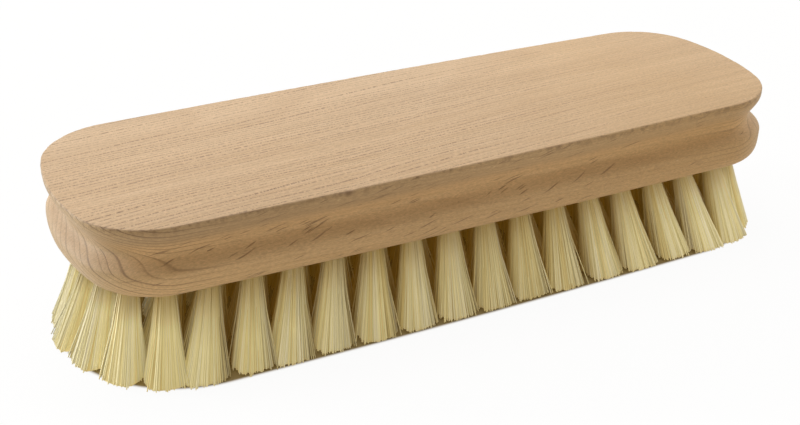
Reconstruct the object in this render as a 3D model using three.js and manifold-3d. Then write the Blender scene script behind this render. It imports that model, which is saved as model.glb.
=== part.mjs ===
// Shoe shine brush: a one-piece beech block with a finger cove, drilled for tufts of bristle.
// Millimetres, +Z up. The origin is on the floor under the middle of the brush, +X along its length.

import * as THREE from 'three';
import { mergeVertices } from 'three/addons/utils/BufferGeometryUtils.js';
import loadManifold from 'manifold-3d';

// Block, seen from above
const blockLength = 180;
const blockWidth = 56.4;
const cornerRadius = 17.6;
const endRadius = 63.8; // the ends are shallow arcs between the rounded corners
const sideBow = 1.3; // each long side draws in by this much towards the ends

// Block, seen from the end. Drops are measured down from the top face.
const blockThickness = 17.9;
const topEdgeEase = 0.6;
const lipHeight = 3.5;
const coveDepth = 3.7;
const coveDrop = 6.9; // the deepest line of the finger cove
const beadDrop = 11.5; // the fullest line of the bead below the cove
const beadProud = 0.3; // how far the bead stands outside the lip
const underEdgeInset = 4.6; // where the bead's rounding meets the flat underside
const underEdgePower = 2.2; // 2 rounds the bead as an ellipse, more makes it squarer

// Tufts
const bristleLength = 18.9; // from the underside to the trimmed tips
const outerRootInset = 8.4; // roots of the outer ring, in from the block's outline
const tuftPitch = 9.6; // along the rows
const endPitch = 8; // round the ends of the ring
const rowSpacing = 10; // across the block, before it is fitted between the outer rows
const leastRootSpacing = 7.6; // a row stops where it would crowd the ring
const sideThrow = 8.7; // how far the tips of the outer rows lean out past their roots
const endThrow = 7.3; // the same at the two ends
const tuftRootWidth = 5;
const tuftTipWidth = 9.2;
const strandRootGap = 0.4;
const strandTipGap = 0.8;
const strandsPerTuft = 5; // each a three-sided sector of the tuft

// Tuft holes and the slices of backing that the tufts stand in
const sliceWidth = 5.6;
const sliceThickness = 2;
const plugDiameter = 4.8; // the folded end of a tuft in its hole
const plugDepth = 8; // from the underside
const plugSides = 6;

// Anchors: flat wires driven across the folds
const anchorLength = 6.4;
const anchorHeight = 2;
const anchorThickness = 0.5;
const anchorCover = 1.2; // bristle between an anchor and the end of its tuft
const anchorTurn = Math.PI / 4; // across the grain at a slant, so that a row doesn't split the block

// Fits and facets
const seatClearance = 0.3;
const cutOverrun = 1;
const mergeTolerance = 1e-5;
const blockSteps = { end: 3, corner: 7, side: 4 }; // facets along a quarter of the block's outline
const sliceSteps = { end: 2, corner: 4, side: 2 };
const pathSteps = { end: 40, corner: 40, side: 1 };
const easeSteps = 2;
const coveSteps = 4;
const beadSteps = 5;
const underSteps = 5;

const wasm = await loadManifold();
wasm.setup();

const beech = new THREE.MeshStandardMaterial({ color: 0xd2b48f, roughness: 0.7, metalness: 0 });
const bristle = new THREE.MeshStandardMaterial({ color: 0xd6c58e, roughness: 0.6, metalness: 0 });
const steel = new THREE.MeshStandardMaterial({ color: 0xb4b6b8, roughness: 0.35, metalness: 1 });

// Solids

function solidOf(geometry) {
  const bare = geometry.clone();
  bare.deleteAttribute('normal');
  bare.deleteAttribute('uv');
  const merged = mergeVertices(bare, mergeTolerance);
  const vertProperties = new Float32Array(merged.attributes.position.array);
  const triVerts = new Uint32Array(merged.index.array);
  return new wasm.Manifold(new wasm.Mesh({ numProp: 3, vertProperties, triVerts }));
}

function geometryOf(solid) {
  const { vertProperties, triVerts } = solid.getMesh();
  const geometry = new THREE.BufferGeometry();
  geometry.setAttribute('position', new THREE.BufferAttribute(vertProperties, 3));
  geometry.setIndex(new THREE.BufferAttribute(triVerts, 1));
  geometry.computeVertexNormals();
  return geometry;
}

// Skins rings of equally many points, each counter-clockwise from above, from the lowest to the highest.
// A closed loft runs from the last ring back to the first and has no caps.
function loft(rings, closed = false) {
  const count = rings[0].length;
  const faces = [];
  const bands = closed ? rings.length : rings.length - 1;
  for (let band = 0; band < bands; band += 1) {
    const lower = band * count;
    const upper = ((band + 1) % rings.length) * count;
    for (let i = 0; i < count; i += 1) {
      const next = (i + 1) % count;
      faces.push(lower + i, lower + next, upper + next);
      faces.push(lower + i, upper + next, upper + i);
    }
  }
  if (!closed) {
    const last = (rings.length - 1) * count;
    for (const [a, b, c] of THREE.ShapeUtils.triangulateShape(rings[0], [])) {
      faces.push(c, b, a);
    }
    for (const [a, b, c] of THREE.ShapeUtils.triangulateShape(rings.at(-1), [])) {
      faces.push(last + a, last + b, last + c);
    }
  }
  const geometry = new THREE.BufferGeometry();
  geometry.setFromPoints(rings.flat());
  geometry.setIndex(faces);
  return geometry;
}

// Block outline

const cornerY = blockWidth / 2 - cornerRadius;
const endCentreX = blockLength / 2 - endRadius;
const cornerX = endCentreX + Math.sqrt((endRadius - cornerRadius) ** 2 - cornerY ** 2);
const joinAngle = Math.atan2(cornerY, cornerX - endCentreX); // where the end arc runs into the corner

function bowAt(x) {
  return 1 - (sideBow / (blockWidth / 2)) * (x / (blockLength / 2)) ** 2;
}

function arcPoints(centreX, centreY, radius, from, to, steps) {
  return Array.from({ length: steps + 1 }, (_, i) => {
    const angle = from + ((to - from) * i) / steps;
    return new THREE.Vector2(centreX + radius * Math.cos(angle), centreY + radius * Math.sin(angle));
  });
}

// A quarter of the outline, from the middle of the +X end to the middle of the +Y side.
function quarterOutline(inset, steps) {
  const end = arcPoints(endCentreX, 0, endRadius - inset, 0, joinAngle, steps.end);
  const corner = arcPoints(cornerX, cornerY, cornerRadius - inset, joinAngle, Math.PI / 2, steps.corner);
  const points = [...end, ...corner.slice(1)];
  for (let i = 1; i <= steps.side; i += 1) {
    points.push(new THREE.Vector2(cornerX * (1 - i / steps.side), blockWidth / 2 - inset));
  }
  points.forEach((point) => point.setY(point.y * bowAt(point.x)));
  return points;
}

function outlineRing(inset, z, steps) {
  const quarter = quarterOutline(inset, steps);
  const back = quarter.slice(0, -1).reverse().map((p) => new THREE.Vector2(-p.x, p.y));
  const half = [...quarter, ...back];
  const front = half.slice(1, -1).reverse().map((p) => new THREE.Vector2(p.x, -p.y));
  return [...half, ...front].map((p) => new THREE.Vector3(p.x, p.y, z));
}

// Height and inset of each ring of the block, from the underside up
function blockProfile() {
  const beadZ = blockThickness - beadDrop;
  const coveZ = blockThickness - coveDrop;
  const lipZ = blockThickness - lipHeight;
  const levels = [];
  for (let i = 0; i < underSteps; i += 1) {
    const angle = (Math.PI / 2) * (1 - i / underSteps);
    const out = Math.cos(angle) ** (2 / underEdgePower);
    const down = Math.sin(angle) ** (2 / underEdgePower);
    levels.push([beadZ * (1 - down), underEdgeInset - (underEdgeInset + beadProud) * out]);
  }
  for (let i = 0; i < beadSteps; i += 1) {
    const ease = (1 - Math.cos((Math.PI * i) / beadSteps)) / 2;
    levels.push([beadZ + ((coveZ - beadZ) * i) / beadSteps, (coveDepth + beadProud) * ease - beadProud]);
  }
  for (let i = 0; i <= coveSteps; i += 1) {
    const ease = (1 + Math.cos((Math.PI * i) / coveSteps)) / 2;
    levels.push([coveZ + ((lipZ - coveZ) * i) / coveSteps, coveDepth * ease]);
  }
  for (let i = 0; i <= easeSteps; i += 1) {
    const angle = ((Math.PI / 2) * i) / easeSteps;
    const z = blockThickness - topEdgeEase * (1 - Math.sin(angle));
    levels.push([z, topEdgeEase * (1 - Math.cos(angle))]);
  }
  return levels;
}

// Tuft layout. A tuft has its root on the underside, z = 0, and its tip bristleLength below.

const ringLength = blockLength / 2 - outerRootInset;
const ringWidth = blockWidth / 2 - outerRootInset;
const fanAlong = 1 + endThrow / ringLength;
const fanAcross = 1 + sideThrow / ringWidth;

function centredRow(count) {
  return Array.from({ length: count }, (_, i) => (i - (count - 1) / 2) * tuftPitch);
}

function ringSideY(x) {
  const past = Math.max(Math.abs(x) - cornerX, 0);
  const radius = cornerRadius - outerRootInset;
  return (cornerY + Math.sqrt(radius ** 2 - past ** 2)) * bowAt(x);
}

// The turn of a tuft is the way that the ring runs there, counter-clockwise from above.
function ringTuft(x, y, turn) {
  return { root: new THREE.Vector2(x, y), turn };
}

// Tufts of the ring round the +X end, spread evenly between the last tufts of the two outer rows
function endTufts(rowEnd) {
  const fine = quarterOutline(outerRootInset, pathSteps).filter((p) => p.x > rowEnd);
  fine.push(new THREE.Vector2(rowEnd, ringSideY(rowEnd)));
  const below = fine.slice(1).reverse().map((p) => new THREE.Vector2(p.x, -p.y));
  const path = new THREE.CurvePath();
  const points = [...below, ...fine];
  for (let i = 1; i < points.length; i += 1) {
    path.add(new THREE.LineCurve(points[i - 1], points[i]));
  }
  const parts = Math.round(path.getLength() / endPitch);
  return Array.from({ length: parts - 1 }, (_, i) => {
    const root = path.getPointAt((i + 1) / parts);
    const along = path.getTangentAt((i + 1) / parts);
    return ringTuft(root.x, root.y, along.angle());
  });
}

function outerTufts() {
  const count = 1 + Math.floor((2 * cornerX + tuftRootWidth) / tuftPitch);
  const row = centredRow(count);
  const front = row.map((x) => ringTuft(x, -ringSideY(x), 0));
  const half = [...front, ...endTufts(row.at(-1))];
  return [...half, ...half.map(({ root, turn }) => ringTuft(-root.x, -root.y, turn + Math.PI))];
}

// Every other row is set half a pitch along, as the holes are drilled.
function innerTufts(rowIndex, y, outer) {
  const even = outerRowCount % 2 === 0;
  const shifted = rowIndex % 2 === 1;
  const count = Math.ceil(blockLength / tuftPitch / 2) * 2 + (even === shifted ? 1 : 0);
  return centredRow(count)
    .map((x) => ({ root: new THREE.Vector2(x, y), turn: 0 }))
    .filter(({ root }) => outer.every((other) => other.root.distanceTo(root) >= leastRootSpacing))
    .filter(({ root }) => Math.abs(root.x) < ringLength);
}

const ringTufts = outerTufts();
const outerRowCount = ringTufts.filter(({ root, turn }) => turn === 0 && root.y < 0).length;
const rowSteps = Math.round((2 * ringWidth) / rowSpacing);
const innerRows = Array.from({ length: rowSteps - 1 }, (_, i) => {
  const y = ringWidth * ((2 * (i + 1)) / rowSteps - 1);
  return innerTufts(i + 1, y, ringTufts);
});

// The middle of a tuft at a height: its hole carries on upwards in the line of its bristles.
function tuftCentre({ root }, z) {
  const down = -z / bristleLength;
  const x = root.x * (1 + (fanAlong - 1) * down);
  const y = root.y * (1 + (fanAcross - 1) * down);
  return new THREE.Vector3(x, y, z);
}

// Bristles

function strandRing(tuft, index, z) {
  const down = -z / bristleLength;
  const radius = THREE.MathUtils.lerp(tuftRootWidth, tuftTipWidth, down) / 2;
  const halfGap = THREE.MathUtils.lerp(strandRootGap, strandTipGap, down) / 2;
  const halfSector = Math.PI / strandsPerTuft;
  const middle = tuft.turn + Math.PI / 2 + 2 * halfSector * index;
  const spread = halfSector - Math.asin(halfGap / radius);
  const corners = [[halfGap / Math.sin(halfSector), 0], [radius, -spread], [radius, spread]];
  const centre = tuftCentre(tuft, z);
  return corners.map(([reach, angle]) => {
    const x = reach * Math.cos(middle + angle);
    const y = reach * Math.sin(middle + angle);
    return new THREE.Vector3(x, y, 0).add(centre);
  });
}

// A tuft's own frame: z runs up its hole from the underside and x lies along its anchor.
function tuftFrame(tuft) {
  const along = new THREE.Vector3(Math.cos(anchorTurn), Math.sin(anchorTurn), 0);
  const across = new THREE.Vector3(-Math.sin(anchorTurn), Math.cos(anchorTurn), 0);
  const up = tuftCentre(tuft, 1).sub(tuftCentre(tuft, 0));
  return new THREE.Matrix4().makeBasis(along, across, up).setPosition(tuftCentre(tuft, 0));
}

// A round hole or plug in a tuft's own frame, with a flat facing along the anchor
function plugShape(radius, bottom, top) {
  const ring = (z) => Array.from({ length: plugSides }, (_, i) => {
    const angle = (2 * Math.PI * (i + 0.5)) / plugSides;
    return new THREE.Vector3(radius * Math.cos(angle), radius * Math.sin(angle), z);
  });
  return loft([ring(bottom), ring(top)]);
}

// The folded end of a tuft: its two legs pass either side of the anchor and meet above it.
function foldedPlug() {
  const plug = solidOf(plugShape(plugDiameter / 2, sliceThickness, plugDepth));
  const slotTop = plugDepth - anchorCover + seatClearance;
  const slot = new THREE.BoxGeometry(2 * plugDiameter, anchorThickness + 2 * seatClearance, 2 * slotTop);
  return geometryOf(plug.subtract(solidOf(slot)));
}

function addTufts(slice, tufts, plug) {
  let body = slice;
  for (const tuft of tufts) {
    for (let i = 0; i < strandsPerTuft; i += 1) {
      const tip = strandRing(tuft, i, -bristleLength);
      const root = strandRing(tuft, i, sliceThickness / 2);
      body = body.add(solidOf(loft([tip, root])));
    }
    body = body.add(solidOf(plug.clone().applyMatrix4(tuftFrame(tuft))));
  }
  return body;
}

function ringSlice(halfWidth, bottom, top) {
  const outer = outerRootInset - halfWidth;
  const inner = outerRootInset + halfWidth;
  const corners = [[inner, bottom], [outer, bottom], [outer, top], [inner, top]];
  return solidOf(loft(corners.map(([inset, z]) => outlineRing(inset, z, sliceSteps)), true));
}

function rowSlice(tufts, halfWidth, bottom, top) {
  const xs = tufts.map(({ root }) => root.x);
  const length = Math.max(...xs) - Math.min(...xs) + 2 * halfWidth;
  const box = new THREE.BoxGeometry(length, 2 * halfWidth, top - bottom);
  box.translate(0, tufts[0].root.y, (bottom + top) / 2);
  return solidOf(box);
}

// Anchors

// The wire lies level across its hole, with its flat sides in line with the hole.
function anchorPose(tuft) {
  const along = new THREE.Vector3();
  const up = new THREE.Vector3();
  tuftFrame(tuft).extractBasis(along, new THREE.Vector3(), up);
  const flat = up.clone().cross(along).normalize();
  const edge = along.clone().cross(flat);
  const position = tuftCentre(tuft, plugDepth - anchorCover - anchorHeight / 2);
  const turn = new THREE.Matrix4().makeBasis(along, flat, edge);
  return { position, quaternion: new THREE.Quaternion().setFromRotationMatrix(turn) };
}

function anchorRoom(tuft) {
  const { position, quaternion } = anchorPose(tuft);
  const sizes = [anchorLength, anchorThickness, anchorHeight].map((size) => size + 2 * seatClearance);
  const room = new THREE.BoxGeometry(...sizes);
  room.applyQuaternion(quaternion);
  room.translate(position.x, position.y, position.z);
  return solidOf(room);
}

// Pieces

function cutHoles(block, tufts) {
  const hole = plugShape(plugDiameter / 2 + seatClearance, sliceThickness / 2, plugDepth + seatClearance);
  let body = block;
  for (const tuft of tufts) {
    body = body.subtract(solidOf(hole.clone().applyMatrix4(tuftFrame(tuft))));
  }
  return body;
}

function blockGeometry() {
  const rings = blockProfile().map(([z, inset]) => outlineRing(inset, z, blockSteps));
  const halfGroove = sliceWidth / 2 + seatClearance;
  const grooveTop = sliceThickness + seatClearance;
  let body = solidOf(loft(rings));
  body = body.subtract(ringSlice(halfGroove, -cutOverrun, grooveTop));
  body = cutHoles(body, ringTufts);
  for (const tufts of innerRows) {
    body = body.subtract(rowSlice(tufts, halfGroove, -cutOverrun, grooveTop));
    body = cutHoles(body, tufts);
  }
  for (const tuft of ringTufts) {
    body = body.subtract(anchorRoom(tuft));
  }
  return geometryOf(body);
}

const brush = new THREE.Group();
brush.position.z = bristleLength;

function addPiece(name, geometry, material) {
  const piece = new THREE.Mesh(geometry, material);
  piece.name = name;
  brush.add(piece);
  return piece;
}

addPiece('brush_block', blockGeometry(), beech);
const ringBody = addTufts(ringSlice(sliceWidth / 2, 0, sliceThickness), ringTufts, foldedPlug());
addPiece('outer_bristle_ring', geometryOf(ringBody), bristle);

// The inner rows' anchors are one with the folds that hide them.
const solidPlug = plugShape(plugDiameter / 2, sliceThickness, plugDepth);
innerRows.forEach((tufts, i) => {
  const rowBody = addTufts(rowSlice(tufts, sliceWidth / 2, 0, sliceThickness), tufts, solidPlug);
  addPiece(`inner_bristle_row_${i + 1}`, geometryOf(rowBody), bristle);
});

const anchorShape = new THREE.BoxGeometry(anchorLength, anchorThickness, anchorHeight);
ringTufts.forEach((tuft, i) => {
  const anchor = addPiece(`tuft_anchor_${String(i + 1).padStart(2, '0')}`, anchorShape, steel);
  const { position, quaternion } = anchorPose(tuft);
  anchor.position.copy(position);
  anchor.quaternion.copy(quaternion);
});

const part = new THREE.Group();
part.add(brush);

export default part;
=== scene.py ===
import math
import random

import bmesh
import bpy
import numpy as np
from mathutils import Matrix, Vector, noise
from mathutils.geometry import tessellate_polygon


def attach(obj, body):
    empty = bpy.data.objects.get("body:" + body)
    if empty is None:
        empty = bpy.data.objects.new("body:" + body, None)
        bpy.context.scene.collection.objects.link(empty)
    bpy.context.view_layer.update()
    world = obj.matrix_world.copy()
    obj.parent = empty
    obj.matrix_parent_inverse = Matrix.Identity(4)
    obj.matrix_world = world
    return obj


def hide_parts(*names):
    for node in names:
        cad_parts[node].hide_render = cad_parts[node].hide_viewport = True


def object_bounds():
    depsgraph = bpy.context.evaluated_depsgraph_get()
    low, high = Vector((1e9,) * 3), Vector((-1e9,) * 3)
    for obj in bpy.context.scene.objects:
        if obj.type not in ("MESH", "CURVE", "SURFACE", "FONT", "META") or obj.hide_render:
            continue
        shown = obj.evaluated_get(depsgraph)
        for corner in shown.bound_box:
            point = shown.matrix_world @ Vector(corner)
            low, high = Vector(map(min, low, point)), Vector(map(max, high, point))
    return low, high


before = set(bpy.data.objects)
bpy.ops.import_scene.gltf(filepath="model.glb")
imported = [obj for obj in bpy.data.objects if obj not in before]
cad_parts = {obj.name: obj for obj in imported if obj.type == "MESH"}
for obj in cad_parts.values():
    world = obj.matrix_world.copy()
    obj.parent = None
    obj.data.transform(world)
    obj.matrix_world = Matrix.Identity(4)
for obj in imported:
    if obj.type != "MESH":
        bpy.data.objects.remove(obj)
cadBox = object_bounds()
mm = 0.001
print("frame loaded,", len(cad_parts), "nodes")


# node helpers

def openSocket(sockets, key):
    if isinstance(key, int):
        return sockets[key]
    return next(s for s in sockets if s.name == key and s.enabled)


def connect(tree, node, values):
    for key, value in values.items():
        socket = openSocket(node.inputs, key)
        if isinstance(value, bpy.types.NodeSocket):
            tree.links.new(value, socket)
        else:
            socket.default_value = value


def addNode(tree, kind, values=None, **settings):
    node = tree.nodes.new(kind)
    for name, value in settings.items():
        setattr(node, name, value)
    connect(tree, node, values or {})
    return node


def out(node, key=0):
    return openSocket(node.outputs, key)


def newOut(tree, kind, values=None, key=0, **settings):
    return out(addNode(tree, kind, values, **settings), key)


def treeOf(*values):  # the tree that the linked ones among some values stand in
    return next(value.id_data for value in values if isinstance(value, bpy.types.NodeSocket))


def calc(operation, *values):
    return newOut(treeOf(*values), "ShaderNodeMath", dict(enumerate(values)), operation=operation)


def times(total, *others):
    for value in others:
        total = calc("MULTIPLY", total, value)
    return total


def plus(total, *others):
    for value in others:
        total = calc("ADD", total, value)
    return total


def rest(value):  # what is left of one
    return calc("SUBTRACT", 1.0, value)


def vecCalc(operation, *values):
    places = (0, "Scale") if operation == "SCALE" else (0, 1)
    key = "Value" if operation in ("DISTANCE", "DOT_PRODUCT", "LENGTH") else "Vector"
    return newOut(treeOf(*values), "ShaderNodeVectorMath", dict(zip(places, values)), key,
                  operation=operation)


def splitXYZ(vector):
    return tuple(addNode(vector.id_data, "ShaderNodeSeparateXYZ", {"Vector": vector}).outputs)


def joinXYZ(x=0.0, y=0.0, z=0.0):
    return newOut(treeOf(x, y, z), "ShaderNodeCombineXYZ", {"X": x, "Y": y, "Z": z})


def noiseOf(place, scale=1.0, detail=2.0, rough=0.5, key=0):
    return newOut(place.id_data, "ShaderNodeTexNoise",
                  {"Vector": place, "Scale": scale, "Detail": detail, "Roughness": rough}, key)


def remap(value, low, high, toLow=0.0, toHigh=1.0, smooth=False):
    return newOut(value.id_data, "ShaderNodeMapRange",
                  {"Value": value, "From Min": low, "From Max": high, "To Min": toLow, "To Max": toHigh},
                  interpolation_type="SMOOTHSTEP" if smooth else "LINEAR")


def mixColor(factor, a, b, blend="MIX"):
    return newOut(treeOf(factor, a, b), "ShaderNodeMix", {"Factor": factor, "A": a, "B": b}, "Result",
                  data_type="RGBA", blend_type=blend)


def tinted(color, tint):
    return mixColor(1.0, color, tint, "MULTIPLY")


def groupTree(name, kind, inputs, outputs):
    tree = bpy.data.node_groups.new(name, kind)
    for label, socketType, default in inputs:
        socket = tree.interface.new_socket(label, in_out="INPUT", socket_type=socketType)
        if default is not None:
            socket.default_value = default
    for label, socketType in outputs:
        tree.interface.new_socket(label, in_out="OUTPUT", socket_type=socketType)
    return tree, tree.nodes.new("NodeGroupInput"), tree.nodes.new("NodeGroupOutput")


def clearTree(holder):  # of a material or the world
    holder.use_nodes = True
    holder.node_tree.nodes.clear()
    return holder.node_tree


def newMaterial(name):
    material = bpy.data.materials.new(name)
    tree = clearTree(material)
    shader = tree.nodes.new("ShaderNodeBsdfPrincipled")
    addNode(tree, "ShaderNodeOutputMaterial", {"Surface": out(shader)})
    return material, tree, shader


# beech: growth rings, fibres, pores and fissures cut through a solid block, places and sizes in mm

beechLook = {
    "pale": (0.580, 0.400, 0.238, 1),
    "late": (0.445, 0.283, 0.150, 1),  # the darker edge of each growth ring
    "ringLine": (0.165, 0.090, 0.042, 1),
    "pore": (0.190, 0.108, 0.045, 1), "poreDark": 0.95,
    "fissure": (0.150, 0.075, 0.030, 1), "fissureDark": 0.70,
    "glint": (0.720, 0.560, 0.340, 1), "glintBright": 0.5, "glintShare": 0.03,
    "endTint": (0.93, 0.97, 0.98, 1),
    "warmEnd": (0.980, 0.945, 0.845, 1),  # the right end is a little warmer
    "pith": (0, 23.4, -58.9),  # where the growth rings are centred across the block
    "ringSpacing": 1.15, "ringWander": 3.0, "ringUneven": 1.6, "ringFlutter": 0.20,
    "grainSlope": 0.026,  # the grain runs a little askew along the block
    "endsFrom": (52.0, 76.0),  # ring lines show from here to the ends
    # painted light on the cove and painted shade on the lip, set by height
    "coveHeights": (24.5, 28.5, 29.5, 33.5), "covePaintedLight": 0.11,
    "lipHeights": (30.5, 33.5), "lipPaintedShade": 0.27,
    "frayHeights": (34.6, 36.5), "frayAndShadeDark": 0.55,
    # the colour is darker where the front edge is chipped
    "chip": (-33.7, -27.9, 36.3), "chipEdge": (0.4, 1.2), "chipDark": 0.75,
    # the rows of pores cross the top at a slight angle
    "poreSlope": 0.075, "poreSpacing": 1.15, "poreSway": 5.0, "poreFlutter": 0.25, "poreDashes": 2.4,
    "fissures": ((8.0, 0.38, 0.070), (4.2, 0.32, 0.085)),  # length, width and share
    "fissureTilt": 15.0, "fissureBend": 0.9,  # degrees of rise on the long sides, and mm of bend
    "relief": {"fibre": 0.35, "fuzz": 0.35, "pores": 0.6}, "bump": 0.4, "bumpDepth": 0.0002,
    "sheen": 0.12, "sheenRough": 0.6,
}


def makeBeechGroup(look):
    tree, given, result = groupTree(
        "beechGrain", "ShaderNodeTree",
        [("Place", "NodeSocketVector", None), ("Facing", "NodeSocketVector", None)],
        [("Color", "NodeSocketColor"), ("Roughness", "NodeSocketFloat"), ("Height", "NodeSocketFloat")])
    place = vecCalc("SCALE", out(given, "Place"), 1 / mm)
    x, y, z = splitXYZ(place)
    faceX, _, faceZ = splitXYZ(out(given, "Facing"))
    endOn = remap(calc("ABSOLUTE", faceX), 0.35, 0.9, smooth=True)
    upright = remap(calc("ABSOLUTE", faceZ), 0.70, 0.97, 1.0, 0.0, smooth=True)
    sides = times(upright, rest(endOn))

    def noiseAt(scales, detail=2.0, rough=0.5, source=place):
        return noiseOf(vecCalc("MULTIPLY", source, scales), 1.0, detail, rough)

    def between(value, start, full, fade, end):
        return times(remap(value, start, full, smooth=True),
                     remap(value, fade, end, 1.0, 0.0, smooth=True))

    def cells(where, **settings):  # how far the middle of the nearest cell is, and that cell's own draw
        node = addNode(tree, "ShaderNodeTexVoronoi", {"Vector": where, "Scale": 1.0, "Randomness": 1.0},
                       feature="F1", **settings)
        return out(node, "Distance"), newOut(tree, "ShaderNodeSeparateColor", {"Color": out(node, "Color")})

    # growth rings, wandering slowly along the length
    reach = vecCalc("DISTANCE", vecCalc("MULTIPLY", place, (0, 1, 1)), look["pith"])
    reach = plus(reach, times(x, look["grainSlope"]),
                 times(noiseAt((0.012, 0.03, 0.03), 1.0), look["ringWander"]))
    uneven = noiseAt((0.30, 0.0, 0.0), 1.0, source=joinXYZ(reach))
    turns = plus(calc("DIVIDE", reach, look["ringSpacing"]),
                 times(uneven, look["ringUneven"]),
                 times(noiseAt((0.05, 0.15, 0.15), 1.0), look["ringFlutter"]))
    ring = calc("FRACT", turns)
    late = between(ring, 0.30, 0.90, 0.90, 1.0)
    thin = between(ring, 0.74, 0.90, 0.90, 1.0)

    # soft bands of tone, then the rings, weaker in some places
    bands = noiseAt((0.007, 0.13, 0.13), 2.0, 0.55)
    blotch = noiseAt((0.02, 0.05, 0.05))
    fibre = noiseAt((0.05, 2.4, 2.4), 4.0, 0.65)
    fuzz = noiseAt((1.2, 4.0, 4.0), 2.0, 0.6)
    color = mixColor(remap(bands, 0.30, 0.72, 0.0, 0.45), look["pale"], look["late"])
    lineShare = times(late, remap(blotch, 0.3, 0.7, 0.12, 0.42))
    color = mixColor(lineShare, color, look["late"])
    nearEnd = remap(calc("ABSOLUTE", x), *look["endsFrom"], 0.12, 1.0, smooth=True)
    endLine = times(thin, nearEnd, upright, remap(uneven, 0.35, 0.60, 0.45, 1.0),
                    remap(x, -60.0, 60.0, 1.0, 0.5), remap(y, -22.0, 4.0, 1.0, 0.4))
    color = mixColor(endLine, color, look["ringLine"])
    color = mixColor(remap(fibre, 0.35, 0.70, 0.0, 0.34), color, look["late"])
    shade = plus(remap(fuzz, 0.25, 0.75, 0.80, 1.20),
                 remap(blotch, 0.25, 0.75, -0.04, 0.04))
    color = tinted(color, calc("SUBTRACT", shade, times(endOn, 0.04)))
    color = mixColor(endOn, color, tinted(color, look["endTint"]))
    rightEnd = remap(x, 0.0, 70.0, smooth=True)
    color = mixColor(rightEnd, color, tinted(color, look["warmEnd"]))

    # painted light brightens the cove and painted shade darkens the lip, more towards the left; the arris is
    # frayed and darkened with painted shade under it
    paintedCoveLight = times(between(z, *look["coveHeights"]), look["covePaintedLight"])
    paintedLipShade = times(remap(z, *look["lipHeights"], smooth=True),
                    remap(x, -60.0, 60.0, 1.0, 0.4), look["lipPaintedShade"])
    tone = plus(1.0, times(sides, calc("SUBTRACT", paintedCoveLight, paintedLipShade)))
    color = tinted(color, tone)
    # fraying and painted shade in a dark band just under the top edge
    frayAndShade = times(upright, remap(z, *look["frayHeights"]),
                 remap(noiseAt((0.55, 0.9, 0.5), 3.0, 0.7), 0.47, 0.62))
    color = mixColor(times(frayAndShade, look["frayAndShadeDark"]), color, look["ringLine"])
    chipped = remap(vecCalc("DISTANCE", place, look["chip"]), *look["chipEdge"], 1.0, 0.0)
    color = mixColor(times(chipped, look["chipDark"]), color, look["fissure"])

    # rows of open pores along the rings
    lane = plus(calc("SUBTRACT", y, times(x, look["poreSlope"])),
                times(noiseAt((0.010, 0.10, 0.10)), look["poreSway"]),
                times(noiseAt((0.15, 0.8, 0.8), 1.0), look["poreFlutter"]))
    lane = calc("DIVIDE", lane, look["poreSpacing"])
    number = calc("FLOOR", lane)
    depth = newOut(tree, "ShaderNodeTexWhiteNoise", {"W": number}, "Value", noise_dimensions="1D")
    offLine = calc("ABSOLUTE", calc("SUBTRACT", calc("FRACT", lane), 0.5))
    dashPlace = joinXYZ(times(x, look["poreDashes"]), times(number, 7.3))
    dashes = noiseOf(dashPlace, rough=0.7)
    pores = times(remap(offLine, 0.07, 0.20, 1.0, 0.0), remap(dashes, 0.42, 0.56),
                  remap(depth, 0.1, 0.9, 0.35, 1.0), rest(upright),
                  remap(x, 0.0, 65.0, 1.0, 0.35))
    color = mixColor(times(pores, look["poreDark"]), color, look["pore"])

    # fissures: short dark splits that rise along the sides, in loose groups
    bend = noiseOf(vecCalc("SCALE", place, 0.11), detail=1.0, key="Color")
    bend = vecCalc("SCALE", vecCalc("SUBTRACT", bend, (0.5, 0.5, 0.5)), look["fissureBend"])
    bent = vecCalc("ADD", place, bend)
    tilt = (0, math.radians(look["fissureTilt"]), 0)
    tilted = newOut(tree, "ShaderNodeMapping", {"Vector": bent, "Rotation": tilt})
    along, _, up = splitXYZ(tilted)
    groups = times(remap(noiseAt((0.035, 0.05, 0.12), 1.0), 0.38, 0.60, 0.45, 1.0),
                   remap(x, -20.0, 45.0, 1.0, 0.10))
    kinds = []
    for length, width, share in look["fissures"]:
        where = joinXYZ(times(along, 1 / length), times(up, 1 / width))
        distance, pick = cells(where, voronoi_dimensions="2D")
        chosen = calc("LESS_THAN", pick, times(groups, share))
        kinds.append(times(remap(distance, 0.12, 0.46, 1.0, 0.0, smooth=True), chosen))
    splits = times(calc("MAXIMUM", *kinds), sides)
    color = mixColor(times(splits, look["fissureDark"]), color, look["fissure"])

    # a few pale glints where a fibre was torn
    distance, pick = cells(vecCalc("MULTIPLY", place, (0.5, 1.0, 1.6)))
    glints = times(remap(distance, 0.10, 0.26, 1.0, 0.0), upright,
                   calc("LESS_THAN", pick, look["glintShare"]))
    color = mixColor(times(glints, look["glintBright"]), color, look["glint"])

    relief = look["relief"]
    raised = plus(times(fibre, relief["fibre"]), times(fuzz, relief["fuzz"]))
    sunk = plus(times(pores, relief["pores"]), splits)
    connect(tree, result, {"Color": color, "Roughness": remap(fibre, 0.2, 0.8, 0.54, 0.72),
                           "Height": calc("SUBTRACT", raised, sunk)})
    return tree


def makeBeech(look):
    material, tree, shader = newMaterial("beech")
    place = tree.nodes.new("ShaderNodeTexCoord")
    grain = addNode(tree, "ShaderNodeGroup", node_tree=makeBeechGroup(look))
    connect(tree, grain, {"Place": out(place, "Object"), "Facing": out(place, "Normal")})
    bump = newOut(tree, "ShaderNodeBump", {"Height": out(grain, "Height"), "Strength": look["bump"],
                                           "Distance": look["bumpDepth"]})
    connect(tree, shader, {"Base Color": out(grain, "Color"), "Roughness": out(grain, "Roughness"),
                           "Normal": bump, "Sheen Weight": look["sheen"],
                           "Sheen Roughness": look["sheenRough"]})
    return material


# bristle: pale filaments, each with its own tint

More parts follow.
